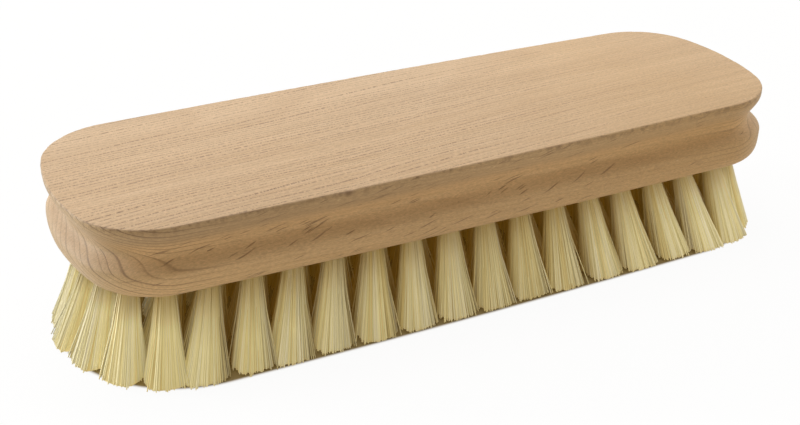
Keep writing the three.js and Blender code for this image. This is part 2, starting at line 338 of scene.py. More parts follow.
bristleLook = {
    "dull": (0.74, 0.62, 0.31, 1),
    "middle": (0.915, 0.847, 0.548, 1),
    "bright": (0.955, 0.935, 0.805, 1),
    # painted shade at the cut tips, near the ground
    "tipShadeColor": (0.80, 0.68, 0.38, 1), "cutShade": 0.35,
    "rootShadeColor": (0.42, 0.30, 0.10, 1), "rootShade": 0.45,  # painted shade where they leave the block, under the bead
    # painted glow standing in for light that comes through the filaments: dim amber deep in the tufts, cream
    # where they stand open
    "deep": (0.14, 0.066, 0.006, 1), "open": (1.0, 0.92, 0.66, 1), "through": 0.265,
    "streaks": 900.0, "gloss": 0.2,
    "sheen": 0.2, "sheenRough": 0.45, "sheenTint": (1.0, 0.97, 0.82, 1),
    "laidTogether": 0.6,  # the strands lie so close that each is shaded mostly as part of the tuft's side
}


def makeBristle(look):
    material, tree, shader = newMaterial("bristle")

    def own(name, key="Fac"):
        return newOut(tree, "ShaderNodeAttribute", key=key, attribute_name=name)

    tint, along = own("tint"), own("along")
    color = mixColor(remap(tint, 0.0, 0.4), look["dull"], look["middle"])
    color = mixColor(remap(tint, 0.4, 1.0), color, look["bright"])
    # painted shade at the cut tips, near the ground
    cut = remap(along, 0.97, 1.0, 0.0, look["cutShade"], smooth=True)
    color = mixColor(cut, color, look["tipShadeColor"])
    # painted shade near the roots, under the bead
    paintedRootShade = remap(along, 0.05, 0.45, look["rootShade"], 0.0, smooth=True)
    color = mixColor(paintedRootShade, color, look["rootShadeColor"])
    streak = noiseOf(newOut(tree, "ShaderNodeTexCoord", key="Object"), look["streaks"], 1.0)
    # the painted glow: from dim amber deep in a tuft to cream where it stands open, stronger towards the tips
    share = times(own("open"), remap(along, 0.10, 0.65, 0.05, 1.0))
    through = mixColor(share, look["deep"], tinted(color, look["open"]))
    together = look["laidTogether"]
    face = vecCalc("SCALE", newOut(tree, "ShaderNodeNewGeometry", key="Normal"), 1 - together)
    face = vecCalc("ADD", vecCalc("SCALE", own("outward", "Vector"), together), face)
    connect(tree, shader, {"Base Color": color, "Roughness": remap(streak, 0.2, 0.8, 0.34, 0.52),
                           "Normal": vecCalc("NORMALIZE", face), "Specular IOR Level": look["gloss"],
                           "Sheen Weight": look["sheen"], "Sheen Roughness": look["sheenRough"],
                           "Sheen Tint": look["sheenTint"],
                           "Emission Color": through, "Emission Strength": look["through"]})
    return material


# anchor wire: drawn steel

wireLook = {"base": (0.60, 0.61, 0.62, 1), "dark": (0.42, 0.42, 0.43, 1), "marks": 2500.0}


def makeWire(look):
    material, tree, shader = newMaterial("anchorWire")
    drawn = noiseOf(newOut(tree, "ShaderNodeTexCoord", key="Object"), look["marks"], 3.0)
    connect(tree, shader, {"Base Color": mixColor(drawn, look["base"], look["dark"]),
                           "Roughness": remap(drawn, 0.2, 0.8, 0.28, 0.48), "Metallic": 1.0})
    return material


beech = makeBeech(beechLook)
bristle = makeBristle(bristleLook)
wire = makeWire(wireLook)
print("materials made")


# block outline and tuft layout, millimetres

blockSizes = {
    "length": 180.0, "width": 56.4, "thickness": 17.9,
    "cornerRadius": 17.6, "endRadius": 63.8, "sideBow": 1.3,
    "lipHeight": 0.9, "coveDepth": 3.0, "coveDrop": 7.6, "beadDrop": 11.5, "beadProud": 0.3,
    "underInset": 4.6, "underPower": (1.8, 4.2),  # the bead is rounder under the left end
    # the moulded part sits a little to the right of the lip, and more so at the front
    "lowerShift": 0.2, "frontShift": 0.6, "frontReach": 24, "shiftFrom": 1.0, "shiftOver": 6.0,
    # the top edge is only just broken, and not evenly
    "arris": 0.45, "arrisWear": 0.16, "wearDrop": 0.05, "wornHeight": 1.2,
    "wearNoise": ((0.45, 3.0), (1.7, 9.0)), "shortWear": 0.6,
    # a small chip out of the front edge
    "chipAt": -33.7, "chipReach": 1.5, "chipDepth": 0.55, "chipDrop": 0.7,
    "outlineSteps": (14, 26, 70),  # round an end, a corner and half a side
    "levelSteps": (14, 14, 12, 3),  # up the bead, the cove, the lip and the arris
    "sharpAngle": 38,
}

tuftSizes = {
    "bristleLength": 18.9, "outerInset": 8.4, "pitch": 9.6, "endPitch": 8.0, "rowPast": 5.0, "pathSteps": 60,
    "rows": 5, "sideThrow": 8.7, "endThrow": 7.3, "rootSpacing": 7.6,
    "rootRadius": 1.75, "tipRadius": 4.3,
    "holeRadius": 2.6, "holeDepth": 8.3, "holeSides": 20, "mouthDepth": 0.25, "mouthFlare": 0.15,
    # how far the tufts of the front row are combed along the block, but for the first and the last two
    "frontComb": (0.2, 0.6, -0.6, -2.1, -1.95, -1.75, -2.0, -2.05, -2.55, -3.9, -3.0, -2.9, -2.0),
    # how far the tips are drawn in, along and across, from those two round the right end to the back row
    "endPull": ((2.9, -0.3), (5.4, -0.2), (6.2, -0.4), (3.4, 0.4), (0.0, 0.0), (0.0, 0.0), (1.7, 1.0),
                (1.7, 0.8)),
    # where the tips stand from the last tuft of the back row round the left end to the front row
    "leftTips": ((-77.0, 25.6), (-82.0, 16.0), (-87.0, 5.8), (-88.6, -2.8), (-87.0, -11.7), (-82.3, -20.7),
                 (-75.5, -26.0)),
    "untrue": (0.45, 0.35),  # no tuft is set quite true, along or across
}

halfLength = blockSizes["length"] / 2
halfWidth = blockSizes["width"] / 2
cornerY = halfWidth - blockSizes["cornerRadius"]
endCentreX = halfLength - blockSizes["endRadius"]
cornerX = endCentreX + math.sqrt((blockSizes["endRadius"] - blockSizes["cornerRadius"]) ** 2 - cornerY ** 2)
joinAngle = math.atan2(cornerY, cornerX - endCentreX)


def unit(value):
    return min(max(value, 0.0), 1.0)


def ramp(value, low, high):
    return unit((value - low) / (high - low))


def bowAt(x):
    return 1 - blockSizes["sideBow"] / halfWidth * (x / halfLength) ** 2


def quarterOutline(inset, endSteps, cornerSteps, sideSteps):
    points = []
    for i in range(endSteps):
        a = joinAngle * i / endSteps
        r = blockSizes["endRadius"] - inset
        points.append((endCentreX + r * math.cos(a), r * math.sin(a)))
    for i in range(cornerSteps):
        a = joinAngle + (math.pi / 2 - joinAngle) * i / cornerSteps
        r = blockSizes["cornerRadius"] - inset
        points.append((cornerX + r * math.cos(a), cornerY + r * math.sin(a)))
    for i in range(sideSteps + 1):
        points.append((cornerX * (1 - i / sideSteps), halfWidth - inset))
    return [(x, y * bowAt(x)) for x, y in points]


def fullOutline(inset):
    quarter = quarterOutline(inset, *blockSizes["outlineSteps"])
    half = quarter + [(-x, y) for x, y in quarter[-2::-1]]
    return half + [(x, -y) for x, y in half[-2:0:-1]]


def ringSideY(x):
    past = max(abs(x) - cornerX, 0.0)
    radius = blockSizes["cornerRadius"] - tuftSizes["outerInset"]
    return (cornerY + math.sqrt(radius ** 2 - past ** 2)) * bowAt(x)


def tuftLayout():
    s = tuftSizes
    count = 1 + math.floor((2 * cornerX + s["rowPast"]) / s["pitch"])
    row = [(i - (count - 1) / 2) * s["pitch"] for i in range(count)]
    upper = [p for p in quarterOutline(s["outerInset"], s["pathSteps"], s["pathSteps"], 1) if p[0] > row[-1]]
    upper.append((row[-1], ringSideY(row[-1])))
    path = [(x, -y) for x, y in upper[:0:-1]] + upper
    steps = [math.dist(a, b) for a, b in zip(path, path[1:])]
    reach = np.concatenate([[0.0], np.cumsum(steps)])
    parts = round(reach[-1] / s["endPitch"])
    marks = reach[-1] * np.arange(1, parts) / parts
    ends = list(zip(*(np.interp(marks, reach, [p[axis] for p in path]) for axis in (0, 1))))
    half = [(x, -ringSideY(x)) for x in row] + ends
    ring = half + [(-x, -y) for x, y in half]
    ringWidth = halfWidth - s["outerInset"]
    rows = []
    for i in range(1, s["rows"] - 1):
        y = ringWidth * (2 * i / (s["rows"] - 1) - 1)
        shift = 0.5 if (i % 2 == 0) == (count % 2 == 0) else 0.0
        spots = [((k + shift) * s["pitch"], y) for k in range(-count, count)]
        rows.append([p for p in spots if min(math.dist(p, q) for q in ring) >= s["rootSpacing"]
                     and abs(p[0]) < halfLength - s["outerInset"]])
    return ring, rows, count


ringRoots, rowRoots, rowCount = tuftLayout()
halfRing = len(ringRoots) // 2
fanAlong = tuftSizes["endThrow"] / (halfLength - tuftSizes["outerInset"])
fanAcross = tuftSizes["sideThrow"] / (halfWidth - tuftSizes["outerInset"])
underside = tuftSizes["bristleLength"]


def tuftLean(root, pull=(0.0, 0.0)):
    along = root[0] * fanAlong - pull[0] * math.copysign(1, root[0])
    across = root[1] * fanAcross - pull[1] * math.copysign(1, root[1])
    return Vector((along, across, -tuftSizes["bristleLength"]))


def ringLeans():
    pulls = [(0.0, 0.0)] * len(ringRoots)
    for i, pull in enumerate(tuftSizes["endPull"], rowCount - 2):
        pulls[i] = pull
    leans = [tuftLean(root, pull) for root, pull in zip(ringRoots, pulls)]
    for i, (x, y) in enumerate(tuftSizes["leftTips"], halfRing + rowCount - 1):
        i %= len(ringRoots)
        leans[i].x, leans[i].y = x - ringRoots[i][0], y - ringRoots[i][1]
    for i, comb in enumerate(tuftSizes["frontComb"], 1):
        leans[i].x += comb
    return leans


def handSet(leans, seed):
    draw = random.Random(seed)
    along, across = tuftSizes["untrue"]
    return [lean + Vector((draw.uniform(-along, along), draw.uniform(-across, across), 0)) for lean in leans]


print("tufts:", len(ringRoots), "in the ring,", [len(r) for r in rowRoots], "in the rows")


# the block

def addObject(name, data):
    added = bpy.data.objects.new(name, data)
    bpy.context.scene.collection.objects.link(added)
    return added


def blockLevels(power):
    s = blockSizes
    top = s["thickness"]
    beadZ, coveZ, lipZ = top - s["beadDrop"], top - s["coveDrop"], top - s["lipHeight"]
    bead, cove, lip, arris = s["levelSteps"]
    levels = []
    for i in range(bead):
        a = math.pi / 2 * (1 - i / bead)
        side, down = math.cos(a) ** (2 / power), math.sin(a) ** (2 / power)
        levels.append((beadZ * (1 - down), s["underInset"] - (s["underInset"] + s["beadProud"]) * side))
    for i in range(cove):
        ease = (1 - math.cos(math.pi * i / cove)) / 2
        inset = (s["coveDepth"] + s["beadProud"]) * ease - s["beadProud"]
        levels.append((beadZ + (coveZ - beadZ) * i / cove, inset))
    for i in range(lip + 1):
        ease = (1 + math.cos(math.pi * i / lip)) / 2
        levels.append((coveZ + (lipZ - coveZ) * i / lip, s["coveDepth"] * ease))
    for i in range(arris + 1):
        a = math.pi / 2 * i / arris
        levels.append((top - s["arris"] * (1 - math.sin(a)), s["arris"] * (1 - math.cos(a))))
    return levels


def wearAt(x, y):  # long dents with shorter ones among them
    long, short = (noise.noise(Vector((x * scale, y * scale, level)))
                   for scale, level in blockSizes["wearNoise"])
    return max(0.0, long + blockSizes["shortWear"] * short)


def blockSides():
    s = blockSizes
    levels, rightLevels = (blockLevels(power) for power in s["underPower"])
    points, faces = [], []
    count = len(fullOutline(0))
    for (leftZ, leftInset), (rightZ, rightInset) in zip(levels, rightLevels):
        for left, right in zip(fullOutline(leftInset), fullOutline(rightInset)):
            share = unit(0.5 + left[0] / s["length"])
            x, y, z = (a + (b - a) * share for a, b in zip((*left, leftZ), (*right, rightZ)))
            edge = max(0.0, 1 - (s["thickness"] - z) / s["wornHeight"])  # 1 at the top arris
            wear = wearAt(x, y)
            pull = 1 - edge * s["arrisWear"] * wear / max(abs(x), abs(y), 1)
            below = unit((s["thickness"] - z - s["shiftFrom"]) / s["shiftOver"])
            shift = s["lowerShift"] + s["frontShift"] * unit(-y / s["frontReach"])
            hollow = max(0.0, 1 - ((x - s["chipAt"]) / s["chipReach"]) ** 2) if y < 0 else 0.0
            chip = s["chipDepth"] * edge * hollow
            points.append((x * pull + shift * below, y * pull + chip,
                           z - edge * s["wearDrop"] * wear - chip * s["chipDrop"]))
    for a in range(0, (len(levels) - 1) * count, count):
        b = a + count
        for i in range(count):
            j = (i + 1) % count
            faces.append((a + i, a + j, b + j, b + i))
    faces.append(tuple(range((len(levels) - 1) * count, len(levels) * count)))
    return points, faces, count


def drillUnderside(points, faces, count):  # a blind hole for every tuft, along its lean
    s = tuftSizes
    sides = s["holeSides"]
    loops, indexes = [[Vector(p) for p in points[:count]]], list(range(count))
    for root in ringRoots + [p for row in rowRoots for p in row]:
        lean = tuftLean(root) / s["bristleLength"]
        rings = []
        for depth, flare in ((0.0, s["mouthFlare"]), (s["mouthDepth"], 0.0), (s["holeDepth"], 0.0)):
            first, radius = len(points), s["holeRadius"] + flare
            for i in range(sides):
                a = 2 * math.pi * i / sides
                points.append((root[0] - lean.x * depth + radius * math.cos(a),
                               root[1] - lean.y * depth + radius * math.sin(a), depth))
            rings.append(list(range(first, first + sides)))
        loops.append([Vector(points[i]) for i in rings[0]])
        indexes += rings[0]
        for lower, upper in zip(rings, rings[1:]):
            for i in range(sides):
                j = (i + 1) % sides
                faces.append((lower[j], lower[i], upper[i], upper[j]))
        faces.append(tuple(reversed(rings[-1])))
    flat = [p for loop in loops for p in loop]
    for a, b, c in tessellate_polygon(loops):
        corners = (indexes[a], indexes[b], indexes[c])
        turn = (flat[b] - flat[a]).cross(flat[c] - flat[a]).z
        faces.append(corners if turn < 0 else corners[::-1])


def makeBlock():
    points, faces, count = blockSides()
    drillUnderside(points, faces, count)
    mesh = bpy.data.meshes.new("beechBlock")
    mesh.from_pydata([(x * mm, y * mm, (z + underside) * mm) for x, y, z in points], [], faces)
    mesh.validate()
    work = bmesh.new()
    work.from_mesh(mesh)
    bmesh.ops.recalc_face_normals(work, faces=work.faces)
    work.to_mesh(mesh)
    work.free()
    mesh.shade_smooth()
    mesh.set_sharp_from_angle(angle=math.radians(blockSizes["sharpAngle"]))
    mesh.materials.append(beech)
    block = addObject("beechBlock", mesh)
    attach(block, "root")
    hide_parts("brush_block")
    return block


block = makeBlock()
print("block made,", len(block.data.polygons), "faces")


# bristles, by geometry nodes on one point a tuft

filamentSizes = {
    "Filaments": 520, "Root Radius": tuftSizes["rootRadius"] * mm, "Tip Radius": tuftSizes["tipRadius"] * mm,
    "Thickness": 0.29 * mm, "Inside": 0.08, "Uneven": 0.60 * mm, "Wander": 0.40 * mm,
    "Clumps": 15.0, "Clumping": 0.55, "Stray Share": 0.018, "Stray Reach": 0.45,
    "Heart": 0.83, "Heart Sides": 20, "Heart Share": 0.28, "Square": 0.55,
}
strandShape = {
    "sides": 3, "rings": 3, "heartRings": 5,
    "goldenAngle": 2.399963,  # spreads the filaments evenly round a tuft
    "fullness": (0.94, 1.07), "heartReach": 0.90, "outerLayer": (0.86, 1.03), "scatter": (-0.04, 0.05),
    "drawing": (0.2, 1.0), "widening": (-0.13, 0.10), "straying": (0.3, 1.0),
    "endLooseness": 0.5, "endPacking": 0.09, "tipPacking": 0.08, "heartShade": 0.45, "heartOpen": 0.5,
    "heartEnd": 0.992,  # the heart ends just short of the filaments
    "brightLight": (1.0, 1.7),  # painted glow level past which a tuft glows further round
}


def makeBristleTree():
    sizes = [(name, "NodeSocketInt" if isinstance(value, int) else "NodeSocketFloat", value)
             for name, value in filamentSizes.items()]
    shape = strandShape
    tree, inputs, result = groupTree(
        "bristleTufts", "GeometryNodeTree",
        [("Geometry", "NodeSocketGeometry", None), *sizes,
         ("Low", "NodeSocketVector", None), ("High", "NodeSocketVector", None),
         ("Seed", "NodeSocketInt", 1), ("Material", "NodeSocketMaterial", None)],
        [("Geometry", "NodeSocketGeometry")])

    def given(name):
        return out(inputs, name)

    def named(name, kind="FLOAT"):
        return newOut(tree, "GeometryNodeInputNamedAttribute", {"Name": name}, data_type=kind)

    def namedVector(name):
        return named(name, "FLOAT_VECTOR")

    def store(geometry, name, value):
        kind = "FLOAT_VECTOR" if getattr(value, "type", "VALUE") == "VECTOR" else "FLOAT"
        return newOut(tree, "GeometryNodeStoreNamedAttribute",
                      {"Geometry": geometry, "Name": name, "Value": value}, data_type=kind, domain="POINT")

    def drawFor(who, low, high, seed):
        return newOut(tree, "FunctionNodeRandomValue", {"Min": low, "Max": high, "ID": who, "Seed": seed},
                      "Value", data_type="FLOAT")

    def chance(low, high, offset):
        seed = plus(given("Seed"), float(offset))
        return drawFor(newOut(tree, "GeometryNodeInputIndex"), low, high, seed)

    def onCircle(angle, radius):
        return joinXYZ(times(radius, calc("COSINE", angle)),
                       times(radius, calc("SINE", angle)))

    def cornerReach(disc):  # how much further a corner reaches, where tips are pressed square
        row = namedVector("row")
        along = vecCalc("DOT_PRODUCT", disc, row)
        across = vecCalc("LENGTH", vecCalc("SUBTRACT", disc, vecCalc("SCALE", row, along)))
        wide = calc("MAXIMUM", calc("ABSOLUTE", along), across)
        corner = calc("DIVIDE", vecCalc("LENGTH", disc), wide)
        return times(calc("SUBTRACT", corner, 1.0), given("Square"))

    spots = newOut(tree, "GeometryNodeMeshToPoints", {"Mesh": given("Geometry")})
    spots = store(spots, "turn", chance(0.0, 2 * math.pi, 1))
    spots = store(spots, "full", chance(*shape["fullness"], 12))
    spots = store(spots, "rootPlace", newOut(tree, "GeometryNodeInputPosition"))
    many = addNode(tree, "GeometryNodeDuplicateElements",
                   {"Geometry": spots, "Amount": given("Filaments")}, domain="POINT")
    order = out(many, "Duplicate Index")
    # some filaments stand in the heart, the rest make the outer layer
    share, heartShare = calc("DIVIDE", plus(order, 0.5), given("Filaments")), given("Heart Share")
    inner = times(calc("SQRT", calc("DIVIDE", share, heartShare)), shape["heartReach"])
    outer = remap(share, heartShare, 1.0, *shape["outerLayer"])
    ray = newOut(tree, "ShaderNodeMix", {"Factor": calc("GREATER_THAN", share, heartShare),
                                         "A": inner, "B": outer}, "Result", data_type="FLOAT")
    ray = plus(ray, chance(*shape["scatter"], 2))
    angle = plus(times(order, shape["goldenAngle"]), named("turn"))
    points = store(out(many, "Geometry"), "disc", onCircle(angle, ray))
    # towards the tips the filaments draw together in clumps
    step = calc("DIVIDE", 2 * math.pi, given("Clumps"))
    clump = calc("FLOOR", calc("DIVIDE", angle, step))
    near = times(plus(clump, 0.5), step)
    drawn = times(given("Clumping"), chance(*shape["drawing"], 14))
    tipDisc = onCircle(plus(angle, times(calc("SUBTRACT", near, angle), drawn)), ray)
    points = store(points, "tipDisc", tipDisc)
    points = store(points, "corner", cornerReach(tipDisc))
    # half of a filament's tone is its own and half its clump's
    ofTuft = times(calc("FLOOR", times(named("turn"), 1000.0)), 16.0)
    clump = plus(calc("MODULO", clump, given("Clumps")), ofTuft)
    clumpTint = drawFor(clump, 0.0, 1.0, given("Seed"))
    points = store(points, "tint", plus(chance(0.0, 0.5, 3), times(clumpTint, 0.5)))
    loose = named("loose")
    stray = calc("LESS_THAN", chance(0.0, 1.0, 4), times(given("Stray Share"), loose))
    stray = times(stray, chance(*shape["straying"], 5), given("Stray Reach"))
    widen = calc("MULTIPLY_ADD", chance(*shape["widening"], 6),
                 remap(loose, 0.0, 1.0, shape["endLooseness"], 1.0), plus(stray, 1.0))
    points = store(points, "widen", widen)
    sway = joinXYZ(chance(-1.0, 1.0, 7), chance(-1.0, 1.0, 8), chance(0.0, 1.0, 9))
    points = store(points, "sway", sway)

    def lines(where, count):
        line = newOut(tree, "GeometryNodeCurvePrimitiveLine", {"End": (0, 0, -0.01)})
        line = newOut(tree, "GeometryNodeResampleCurve", {"Curve": line, "Count": count})
        each = newOut(tree, "GeometryNodeInstanceOnPoints", {"Points": where, "Instance": line})
        return newOut(tree, "GeometryNodeRealizeInstances", {"Geometry": each})

    def follow(strands, lowest):
        along = newOut(tree, "GeometryNodeSplineParameter", key="Factor")
        start = times(given("Inside"), -1.0)
        return store(strands, "along", remap(along, 0.0, 1.0, start, lowest))

    lean = namedVector("lean")
    leanAside = vecCalc("MULTIPLY", lean, (1, 1, 0))

    def surface(side):  # the way the side of a tuft faces
        side = vecCalc("NORMALIZE", side)
        spreads = plus(calc("SUBTRACT", given("Tip Radius"), given("Root Radius")),
                       vecCalc("DOT_PRODUCT", side, leanAside))
        drop = vecCalc("LENGTH", vecCalc("MULTIPLY", lean, (0, 0, 1)))
        rise = joinXYZ(z=calc("DIVIDE", spreads, drop))
        return vecCalc("NORMALIZE", vecCalc("ADD", side, rise))

    def openness(side):  # share of the painted glow: 1 on the side of a tuft that faces out, and further round where the painted glow is strong
        light = named("light")

        def byLight(plain, bright):
            return remap(light, *shape["brightLight"], plain, bright)

        aside = joinXYZ(y=byLight(0.0, -0.004))
        outward = vecCalc("NORMALIZE", vecCalc("ADD", aside, leanAside))
        facing = vecCalc("DOT_PRODUCT", vecCalc("NORMALIZE", side), outward)
        wide = remap(facing, byLight(0.05, -0.65), byLight(0.92, 0.45), byLight(0.0, 0.22), 1.0,
                     smooth=True)
        return times(wide, light)

    # filaments from inside the hole to the trimmed tip
    disc = namedVector("disc")
    points = store(points, "open", openness(disc))
    points = store(points, "outward", surface(disc))
    strands = follow(lines(points, shape["rings"]), 1.0)
    down = named("along")
    flare = calc("MAXIMUM", down, 0.0)
    nearTip = calc("POWER", flare, 3.0)
    root = given("Root Radius")
    middle = vecCalc("ADD", namedVector("rootPlace"), vecCalc("SCALE", lean, down))

    def spreadTo(tip):
        return plus(root, times(calc("SUBTRACT", tip, root), flare))

    def pressed(reach, corner):
        return times(reach, plus(times(corner, nearTip), 1.0))

    def kept(place):  # inside the brush's own box
        return vecCalc("MINIMUM", vecCalc("MAXIMUM", place, given("Low")), given("High"))

    def placed(geometry, place):
        return newOut(tree, "GeometryNodeSetPosition", {"Geometry": geometry, "Position": place})

    tipReach = times(given("Tip Radius"), named("full"))
    spread = spreadTo(times(tipReach, named("widen")))
    disc = newOut(tree, "ShaderNodeMix", {"Factor": flare, "A": disc, "B": namedVector("tipDisc")}, "Result",
                  data_type="VECTOR")
    place = vecCalc("ADD", middle, vecCalc("SCALE", disc, pressed(spread, named("corner"))))
    drift = vecCalc("MULTIPLY", namedVector("sway"),
                    joinXYZ(given("Wander"), given("Wander"), given("Uneven")))
    strands = placed(strands, kept(vecCalc("ADD", place, vecCalc("SCALE", drift, flare))))
    section = newOut(tree, "GeometryNodeCurvePrimitiveCircle",
                     {"Resolution": shape["sides"], "Radius": times(given("Thickness"), 0.5)})
    tubes = newOut(tree, "GeometryNodeCurveToMesh",
                   {"Curve": strands, "Profile Curve": section, "Fill Caps": True})

    # the heart of each tuft, just inside its outer filaments
    hearts = placed(follow(lines(spots, shape["heartRings"]), shape["heartEnd"]), middle)
    sides = given("Heart Sides")
    circle = newOut(tree, "GeometryNodeCurvePrimitiveCircle", {"Resolution": sides, "Radius": 1.0})
    packing = plus(given("Heart"), remap(loose, 0.0, 1.0, shape["endPacking"], 0.0))
    tipPacking = plus(packing, shape["tipPacking"])
    girth = times(spreadTo(tipReach), remap(down, 0.3, 1.0, packing, tipPacking))
    hearts = newOut(tree, "GeometryNodeCurveToMesh",
                    {"Curve": hearts, "Profile Curve": circle, "Scale": girth, "Fill Caps": True})
    # each ring of the heart is laid level, so that its end is level like the trimmed tips
    index = newOut(tree, "GeometryNodeInputIndex")
    side = calc("MODULO", index, sides)
    ringDisc = onCircle(calc("DIVIDE", times(side, -2 * math.pi), sides), 1.0)
    level = vecCalc("SCALE", ringDisc, pressed(girth, cornerReach(ringDisc)))
    hearts = placed(hearts, kept(vecCalc("ADD", middle, level)))
    perHeart = times(sides, float(shape["heartRings"]))
    tuft = calc("FLOOR", calc("DIVIDE", index, perHeart))
    # the hearts take only the duller tints, painted shade among the filaments
    streak = drawFor(plus(side, times(tuft, 64.0)), 0.0, shape["heartShade"], given("Seed"))
    glow = times(openness(ringDisc), shape["heartOpen"])
    for name, value in (("tint", streak), ("heart", 1.0), ("open", glow), ("outward", surface(ringDisc))):
        hearts = store(hearts, name, value)
    joined = tree.nodes.new("GeometryNodeJoinGeometry")
    for part in (hearts, tubes):
        tree.links.new(part, joined.inputs[0])
    whole = newOut(tree, "GeometryNodeRealizeInstances", {"Geometry": out(joined)})
    whole = newOut(tree, "GeometryNodeSetMaterial", {"Geometry": whole, "Material": given("Material")})
    tree.links.new(whole, result.inputs["Geometry"])
    return tree


bristleTree = makeBristleTree()


def applyNodes(name, mesh, tree, values):
    maker = addObject(name + "Maker", mesh)
    modifier = maker.modifiers.new("nodes", "NODES")
    modifier.node_group = tree
    for item in tree.interface.items_tree:
        if item.in_out == "INPUT" and item.name in values:
            modifier[item.identifier] = values[item.name]
    graph = bpy.context.evaluated_depsgraph_get()
    made = bpy.data.meshes.new_from_object(maker.evaluated_get(graph))
    maker.modifiers.remove(modifier)
    bpy.data.objects.remove(maker)
    made.name = name
    return addObject(name, made)


# filaments fill the lower nine tenths of the map, hearts the strip above
bakeMap = {"filaments": 0.9, "margin": 0.08, "capStep": 0.05}


def unrollStrands(mesh):
    heart = np.empty(len(mesh.vertices), np.float32)
    mesh.attributes["heart"].data.foreach_get("value", heart)
    corners = np.empty(len(mesh.loops), np.int32)
    mesh.loops.foreach_get("vertex_index", corners)
    sizes = np.empty(len(mesh.polygons), np.int32)
    mesh.polygons.foreach_get("loop_total", sizes)
    face = np.repeat(np.arange(len(sizes)), sizes)
    quad = sizes[face] == 4
    u, v = np.zeros(len(corners)), np.zeros(len(corners))
    split, margin, capStep = bakeMap["filaments"], bakeMap["margin"], bakeMap["capStep"]
    for isHeart, around, levels, low, high in (
            (False, strandShape["sides"], strandShape["rings"], 0.0, split),
            (True, filamentSizes["Heart Sides"], strandShape["heartRings"], split, 1.0)):
        mine = (heart[corners] > 0.5) == isHeart
        own = corners[mine] - corners[mine].min()
        strand, step = own // (around * levels), own % (around * levels)
        level, side = step // around, (step % around).astype(float)
        lastSide, firstSide = np.zeros(len(sizes), bool), np.zeros(len(sizes), bool)
        lastSide[face[mine][side == around - 1]] = True
        firstSide[face[mine][side == 0]] = True
        wraps = (lastSide & firstSide)[face[mine]] & quad[mine]
        side[wraps & (side == 0)] = around
        columns = math.ceil(math.sqrt(strand.max() + 1))
        lines = math.ceil((strand.max() + 1) / columns)
        across = margin + (1 - 2 * margin) * side / around
        upward = margin + (1 - 2 * margin) * level / (levels - 1)
        capped = upward + np.where(level == 0, -capStep, capStep) * (np.floor(side) % 2)
        upward = np.where(quad[mine], upward, capped)
        u[mine] = (strand % columns + across) / columns
        v[mine] = low + (high - low) * (strand // columns + upward) / lines
    layer = mesh.uv_layers.new(name="OFBake")
    layer.uv.foreach_set("vector", np.column_stack([u, v]).astype(np.float32).ravel())


# painted glow for the tufts, standing in for light that comes through them: the left end gets the most

tuftLight = {
    "least": 0.38,
    "more": ((0.52, 10, -60), (0.5, 15, 60), (0.9, -60, -80)),  # amounts, each rising from one x to another
    "innerRows": (0.5, -45, -75),
    "backFrom": (8, 18), "backBut": (-78, -68),  # the back row has none, but for its left end
    "looseTo": (60, 74),  # hardly a stray at the ends
}


def paintedGlowOn(x, y):
    front = sum((amount * ramp(x, *span) for amount, *span in tuftLight["more"]), tuftLight["least"])
    return front * (1 - ramp(y, *tuftLight["backFrom"]) * ramp(x, *tuftLight["backBut"]))


def makeBristles(name, roots, leans, node, seed, lights, rows):
    spots = bpy.data.meshes.new(name + "Spots")
    spots.from_pydata([(x * mm, y * mm, underside * mm) for x, y in roots], [], [])
    looseness = [1 - ramp(abs(x), *tuftLight["looseTo"]) for x, y in roots]
    for label, values in (("light", lights), ("loose", looseness)):
        spots.attributes.new(label, "FLOAT", "POINT").data.foreach_set("value", values)
    for label, vectors, scale in (("lean", leans, mm), ("row", rows, 1)):
        values = [c * scale for vector in vectors for c in vector]
        spots.attributes.new(label, "FLOAT_VECTOR", "POINT").data.foreach_set("vector", values)
    inside = Vector((1, 1, 1)) * filamentSizes["Thickness"] * 0.55
    piece = applyNodes(name, spots, bristleTree, {
        **filamentSizes, "Low": Vector(cadBox[0]) + inside, "High": Vector(cadBox[1]) - inside,
        "Seed": seed, "Material": bristle})
    bpy.data.meshes.remove(spots)
    unrollStrands(piece.data)
    piece.data.shade_smooth()
    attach(piece, "root")
    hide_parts(node)
    return len(piece.data.polygons)


def alongRing(i):
    a, b = ringRoots[i - 1], ringRoots[(i + 1) % len(ringRoots)]
    return Vector((b[0] - a[0], b[1] - a[1], 0)).normalized()


leans = handSet(ringLeans(), 5)
lights = [paintedGlowOn(x, y) for x, y in ringRoots]
ringRows = [alongRing(i) for i in range(len(ringRoots))]
for name, seed, half in (("outerBristlesFront", 11, slice(halfRing)),
                         ("outerBristlesBack", 12, slice(halfRing, None))):
    faces = makeBristles(name, ringRoots[half], leans[half], "outer_bristle_ring", seed,
                         lights[half], ringRows[half])
    print(name, "made,", faces, "faces")
amount, *span = tuftLight["innerRows"]
for number, roots in enumerate(rowRoots, 1):
    makeBristles(f"innerBristles{number}", roots, handSet([tuftLean(p) for p in roots], 5 + number),
                 f"inner_bristle_row_{number}", 20 + number, [amount * ramp(x, *span) for x, y in roots],
                 [(1.0, 0.0, 0.0)] * len(roots))
print("inner rows made")

for name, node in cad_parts.items():
    if name.startswith("tuft_anchor"):
        node.data.materials.clear()
        node.data.materials.append(wire)


# floor, light and camera

